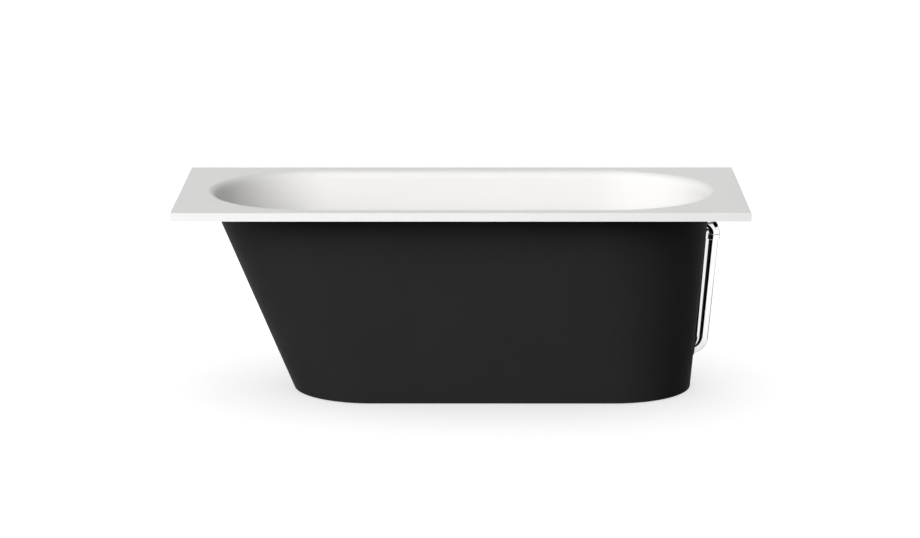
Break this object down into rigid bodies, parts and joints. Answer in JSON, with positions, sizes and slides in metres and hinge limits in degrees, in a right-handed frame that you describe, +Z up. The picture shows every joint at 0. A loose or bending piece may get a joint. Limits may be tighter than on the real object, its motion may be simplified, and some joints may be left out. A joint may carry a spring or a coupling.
{
  "type": "built-in bathtub",
  "caption": "Built-in bathtub with a square flat rim, long oval bowl, dark oval casing, chrome overflow pipe, pop-up waste worked by a knob, trap and screw feet.",
  "frame": {"origin": "on the floor, below the centre of the rim", "axes": "+X along the tub towards the waste and overflow end, +Y to the back edge, +Z up"},
  "size_m": [1.7, 0.75, 0.61],
  "materials": {
    "white_shell": "satin",
    "black_casing": "satin",
    "timber_board": "resin coated",
    "zinc_steel": "zinc plated",
    "chrome_plate": "polished",
    "grey_plastic": "moulded",
    "white_plastic": "moulded",
    "black_rubber": "moulded"
  },
  "bodies": {
    "tub_body": {"tub": "white_shell", "rim_board_front": "timber_board", "rim_board_back": "timber_board", "rim_board_head": "timber_board", "rim_board_tap": "timber_board", "outer_casing": "black_casing", "casing_screws": "zinc_steel", "base_board": "timber_board", "head_rail": "zinc_steel", "tap_rail": "zinc_steel", "rail_screws": "zinc_steel", "rail_end_caps": "grey_plastic", "weld_nuts": "zinc_steel", "lock_nuts": "zinc_steel", "waste_flange": "chrome_plate", "waste_flange_seal": "black_rubber", "waste_body_seal": "black_rubber", "waste_body": "white_plastic", "lever_pin": "zinc_steel", "overflow_outer_seal": "black_rubber", "overflow_inner_seal": "black_rubber", "overflow_plate": "chrome_plate", "overflow_hub": "grey_plastic", "overflow_elbow": "chrome_plate", "overflow_collar": "chrome_plate", "pipe_top_seal": "black_rubber", "overflow_pipe": "chrome_plate", "pipe_low_seal": "black_rubber", "inlet_nut": "white_plastic", "pipe_grommet": "black_rubber", "cable_ferrules": "zinc_steel", "pull_cable": "grey_plastic", "trap_inlet_seal": "black_rubber", "trap_bend": "white_plastic", "trap_inlet_nut": "white_plastic", "trap_outlet": "white_plastic", "trap_mid_seal": "black_rubber", "trap_mid_nut": "white_plastic"},
    "knob": {"overflow_knob": "chrome_plate", "knob_spindle": "zinc_steel"},
    "rod": {"pull_rod": "zinc_steel"},
    "lever": {"lift_lever": "grey_plastic"},
    "plug": {"plug_cap": "chrome_plate", "plug_seal": "black_rubber", "plug_stem": "zinc_steel"},
    "pad_head_front": {"foot_pad_head_front": "black_rubber"},
    "stud_head_front": {"foot_stud_head_front": "zinc_steel"},
    "pad_head_back": {"foot_pad_head_back": "black_rubber"},
    "stud_head_back": {"foot_stud_head_back": "zinc_steel"},
    "pad_tap_front": {"foot_pad_tap_front": "black_rubber"},
    "stud_tap_front": {"foot_stud_tap_front": "zinc_steel"},
    "pad_tap_back": {"foot_pad_tap_back": "black_rubber"},
    "stud_tap_back": {"foot_stud_tap_back": "zinc_steel"}
  },
  "joints": [
    {"name": "knob_turn", "type": "hinge", "parent": "tub_body", "child": "knob", "pos_m": [0.73799, 0, 0.50362], "axis": [0.996, 0, -0.0894], "range_deg": [0, 90]},
    {"name": "rod_pull", "type": "slide", "parent": "tub_body", "child": "rod", "axis": [1, 0, 0], "range_m": [0, 0.00865]},
    {"name": "lever_swing", "type": "hinge", "parent": "tub_body", "child": "lever", "pos_m": [0.54561, 0, 0.10402], "axis": [0, 1, 0], "range_deg": [0, 36.05]},
    {"name": "plug_lift", "type": "slide", "parent": "tub_body", "child": "plug", "axis": [0, 0, 1], "range_m": [0, 0.0099]},
    {"name": "foot_level_head_front", "type": "slide", "parent": "tub_body", "child": "pad_head_front", "axis": [0, 0, -1], "range_m": [-0.006, 0.008]},
    {"name": "foot_screw_head_front", "type": "hinge", "parent": "pad_head_front", "child": "stud_head_front", "pos_m": [-0.35048, -0.1754, 0], "axis": [0, 0, -1], "range_deg": [-1530, 2010]},
    {"name": "foot_level_head_back", "type": "slide", "parent": "tub_body", "child": "pad_head_back", "axis": [0, 0, -1], "range_m": [-0.006, 0.008]},
    {"name": "foot_screw_head_back", "type": "hinge", "parent": "pad_head_back", "child": "stud_head_back", "pos_m": [-0.35048, 0.1754, 0], "axis": [0, 0, -1], "range_deg": [-1530, 2010]},
    {"name": "foot_level_tap_front", "type": "slide", "parent": "tub_body", "child": "pad_tap_front", "axis": [0, 0, -1], "range_m": [-0.006, 0.008]},
    {"name": "foot_screw_tap_front", "type": "hinge", "parent": "pad_tap_front", "child": "stud_tap_front", "pos_m": [0.33, -0.1754, 0], "axis": [0, 0, -1], "range_deg": [-1530, 2010]},
    {"name": "foot_level_tap_back", "type": "slide", "parent": "tub_body", "child": "pad_tap_back", "axis": [0, 0, -1], "range_m": [-0.006, 0.008]},
    {"name": "foot_screw_tap_back", "type": "hinge", "parent": "pad_tap_back", "child": "stud_tap_back", "pos_m": [0.33, 0.1754, 0], "axis": [0, 0, -1], "range_deg": [-1530, 2010]}
  ],
  "couplings": [
    {"joint": "rod_pull", "follows": "knob_turn", "m_per_rad": 0.0055},
    {"joint": "lever_swing", "follows": "knob_turn", "ratio": 0.4},
    {"joint": "plug_lift", "follows": "knob_turn", "m_per_rad": 0.0062952},
    {"joint": "foot_screw_head_front", "follows": "foot_level_head_front", "rad_per_m": 4188.8},
    {"joint": "foot_screw_head_back", "follows": "foot_level_head_back", "rad_per_m": 4188.8},
    {"joint": "foot_screw_tap_front", "follows": "foot_level_tap_front", "rad_per_m": 4188.8},
    {"joint": "foot_screw_tap_back", "follows": "foot_level_tap_back", "rad_per_m": 4188.8}
  ]
}
